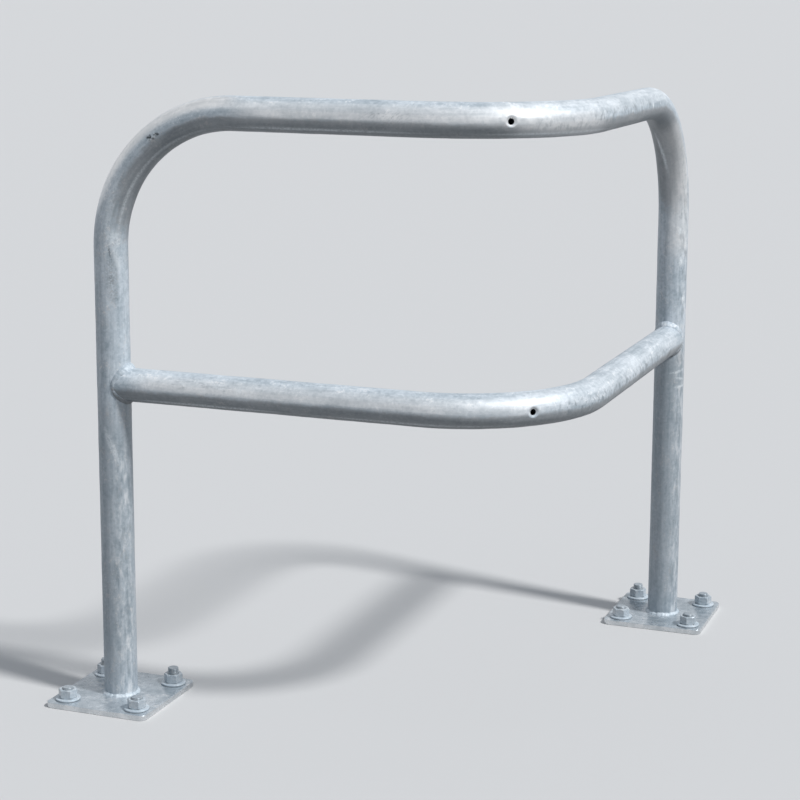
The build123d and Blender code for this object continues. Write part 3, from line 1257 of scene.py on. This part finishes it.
def zinc_finish(name, greys, metallic, pattern, downward_shade, rough, on_tube=False, painted_edge_highlight=0.0):
    """A zinc material between two greys and between two roughnesses."""
    material = bpy.data.materials.new(name)
    material.use_nodes = True
    tree = material.node_tree
    shader = tree.nodes["Principled BSDF"]
    if on_tube:
        place = attribute(tree, "straight", "Vector")
    else:
        place = node(tree, "ShaderNodeTexCoord").outputs["Object"]
    noises = zinc_noises(tree, place, pattern, on_tube)
    tone = zinc_tone(tree, noises)
    normal = node(tree, "ShaderNodeNewGeometry").outputs["Normal"]
    rise = node(tree, "ShaderNodeSeparateXYZ", {0: normal}).outputs[2]
    colour = zinc_colour(tree, noises, tone, rise, greys, downward_shade)
    height = blend_of(tree, noises, mottle=0.8, patches=0.7, streaks=0.3, grain=0.1)

    # The paler grey of the painted highlights and painted reflections.
    painted_highlight_grey = mixed(tree, tone, grey(0.70, (0.97, 1.0, 1.02)), grey(0.88, no_tint))
    # Painted shine: a tube's reflection bands, or a plate's side faces, painted paler and more metallic.
    painted_shine_share = None
    if on_tube:
        painted_shine_share = attribute(tree, "painted_reflection")
    elif painted_edge_highlight:
        painted_shine_share = maths(tree, "MULTIPLY", stretched(tree, rise, 0.7, 0.3), painted_edge_highlight)
    if painted_shine_share:
        colour = mixed(tree, painted_shine_share, colour, painted_highlight_grey)
        tree.links.new(maths(tree, "ADD", painted_shine_share, metallic), shader.inputs["Metallic"])
    else:
        shader.inputs["Metallic"].default_value = metallic

    if on_tube:
        colour, height = with_marks(tree, place, noises, colour, painted_highlight_grey, height)
    dullness = stretched(tree, blend_of(tree, noises, mottle=0.6, patches=0.4), 0.35, 0.65, *rough)
    relief = {"Height": height, "Strength": bump_strength, "Distance": bump_height}
    bump = node(tree, "ShaderNodeBump", relief)
    tree.links.new(colour, shader.inputs["Base Color"])
    tree.links.new(dullness, shader.inputs["Roughness"])
    tree.links.new(bump.outputs[0], shader.inputs["Normal"])
    print(name, "has", len(tree.nodes), "nodes")
    return material


print("the bump of the zinc is", bump_height / MM, "mm high")

# %% [markdown]
# ## Which piece gets which finish
#
# The tubes share one finish. Weld beads took more zinc, so their pattern is finer and their skin duller. The
# plates are smooth and satin: they mirror their surroundings softly, and their side faces get a painted
# highlight, paler and more metallic. The anchors were coated apart from the railing, so nuts and washers are
# more even and shinier than the tubes. The studs, rubbed by the nuts, are darker. The CAD nodes get their
# finishes too. Of these only the two plates still show, as they are flat and need no new shape.

# %% Give every piece its finish
recipes = {
    "galvanised_tube": dict(
        greys=(0.41, 0.74), metallic=0.18, pattern=1.0, downward_shade=0.55, rough=(0.42, 0.60), on_tube=True
    ),
    "galvanised_plate": dict(
        greys=(0.33, 0.58), metallic=0.4, pattern=0.5, downward_shade=0.3, rough=(0.19, 0.33), painted_edge_highlight=0.6
    ),
    "galvanised_weld": dict(
        greys=(0.42, 0.69), metallic=0.12, pattern=1.6, downward_shade=0.6, rough=(0.50, 0.65)
    ),
    "zinc_nut": dict(greys=(0.40, 0.60), metallic=0.15, pattern=2.0, downward_shade=0.3, rough=(0.16, 0.28)),
    "zinc_washer": dict(greys=(0.50, 0.68), metallic=0.15, pattern=2.0, downward_shade=0.3, rough=(0.30, 0.42)),
    "zinc_stud": dict(greys=(0.32, 0.46), metallic=0.3, pattern=2.0, downward_shade=0.3, rough=(0.30, 0.45)),
}
finishes = {name: zinc_finish(name, **recipe) for name, recipe in recipes.items()}
for name, cad_node in frame["nodes"].items():
    cad_node.data.materials.clear()
    cad_node.data.materials.append(finishes[slot_of[name]])
pieces = [piece for piece in bpy.context.scene.objects if "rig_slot" in piece]
for piece in pieces:
    piece.data.materials.append(finishes[piece["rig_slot"]])
print("finished", len(frame["nodes"]), "nodes and", len(pieces), "pieces")

# %% [markdown]
# ## The camera
#
# The camera stands where the photo was taken from, a good three metres off and a little above the top rail.
# Its place and lens were worked out from the outline of the tubes in the photo. Yaw turns it to the side,
# pitch tips it down and roll leans it, all in radians. The photo's middle isn't where the lens pointed, so a
# small shift of the lens makes up for that.

# %% Place the camera
image_size = 800
focal_pixels = 1960.7
centre_pixel = (440.0, 340.0)
camera_place = Vector((leg_length + 895.0 * MM, -3012.1 * MM, 1294.3 * MM))
yaw, pitch, roll = -0.3484, 0.1816, 0.0071

ahead = Vector((np.sin(yaw) * np.cos(pitch), np.cos(yaw) * np.cos(pitch), -np.sin(pitch)))
level_right = Vector((np.cos(yaw), -np.sin(yaw), 0))
level_up = level_right.cross(ahead)
right = np.cos(roll) * level_right + np.sin(roll) * level_up
above = np.cos(roll) * level_up - np.sin(roll) * level_right
camera_data = bpy.data.cameras.new("camera")
camera = bpy.data.objects.new("camera", camera_data)
bpy.context.scene.collection.objects.link(camera)
camera_turn = Matrix((right, above, -ahead)).transposed().to_4x4()
camera.matrix_world = Matrix.Translation(camera_place) @ camera_turn
camera_data.lens = focal_pixels / image_size * camera_data.sensor_width
camera_data.shift_x = (image_size / 2 - centre_pixel[0]) / image_size
camera_data.shift_y = (centre_pixel[1] - image_size / 2) / image_size
bpy.context.scene.camera = camera
shifts = [round(shift, 3) for shift in (camera_data.shift_x, camera_data.shift_y)]
print("lens", round(camera_data.lens, 1), "mm, shifted by", shifts, "of the picture's width")

# %% [markdown]
# ## Floor and light
#
# Floor and sky have two colours each. The camera and reflections see a pale one, and a darker one sends
# light to the railing, so a pale background adds no glare to the zinc. The floor keeps the railing's shadow.

# %% Lay the floor
floor_half = 400.0
floor_seen = (0.60, 0.60, 0.60, 1)
floor_lighting = (0.10, 0.10, 0.10, 1)


def seen_or_lighting(tree, seen, lighting):
    """The first colour for the camera and for reflections, the second for light that falls elsewhere."""
    ray = node(tree, "ShaderNodeLightPath")
    direct = maths(tree, "MAXIMUM", ray.outputs["Is Camera Ray"], ray.outputs["Is Glossy Ray"])
    return mixed(tree, direct, lighting, seen)


floor_corners = [(-1, -1), (1, -1), (1, 1), (-1, 1)]
floor_mesh = bpy.data.meshes.new("floor")
floor_mesh.from_pydata([(floor_half * x, floor_half * y, 0) for x, y in floor_corners], [], [(0, 1, 2, 3)])
floor = bpy.data.objects.new("floor", floor_mesh)
bpy.context.scene.collection.objects.link(floor)
floor_finish = bpy.data.materials.new("pale_floor")
floor_finish.use_nodes = True
floor_tree = floor_finish.node_tree
floor_shader = floor_tree.nodes["Principled BSDF"]
floor_shader.inputs["Roughness"].default_value = 0.9
floor_colour = seen_or_lighting(floor_tree, floor_seen, floor_lighting)
floor_tree.links.new(floor_colour, floor_shader.inputs["Base Color"])
floor_mesh.materials.append(floor_finish)
print("floor", 2 * floor_half, "m wide, seen as", floor_seen[:3], "and lighting as", floor_lighting[:3])

# %% [markdown]
# The light is one broad soft lamp from the right and above, with the sky for the fill, so that the tubes
# shade from bright tops and right sides to darker undersides.

# %% Light it
sky_seen = (0.68, 0.69, 0.71, 1)
sky_lighting = (0.38, 0.41, 0.45, 1)
key_strength = 3.0
key_softness = np.radians(8)
key_azimuth = np.radians(-11)
key_elevation = np.radians(47)

world = bpy.data.worlds.new("sky")
bpy.context.scene.world = world
world.use_nodes = True
sky = world.node_tree.nodes["Background"]
sky_colour = seen_or_lighting(world.node_tree, sky_seen, sky_lighting)
world.node_tree.links.new(sky_colour, sky.inputs["Color"])
sky.inputs["Strength"].default_value = 1.0

key_data = bpy.data.lights.new("key", "SUN")
key_data.energy = key_strength
key_data.angle = key_softness
key = bpy.data.objects.new("key", key_data)
bpy.context.scene.collection.objects.link(key)
key_from = Vector((
    np.cos(key_azimuth) * np.cos(key_elevation),
    np.sin(key_azimuth) * np.cos(key_elevation),
    np.sin(key_elevation),
))
key.rotation_mode = "QUATERNION"
key.rotation_quaternion = key_from.to_track_quat("Z", "Y")
bpy.context.scene.view_settings.view_transform = "Standard"
print("the key lamp shines from", [round(part, 2) for part in key_from])
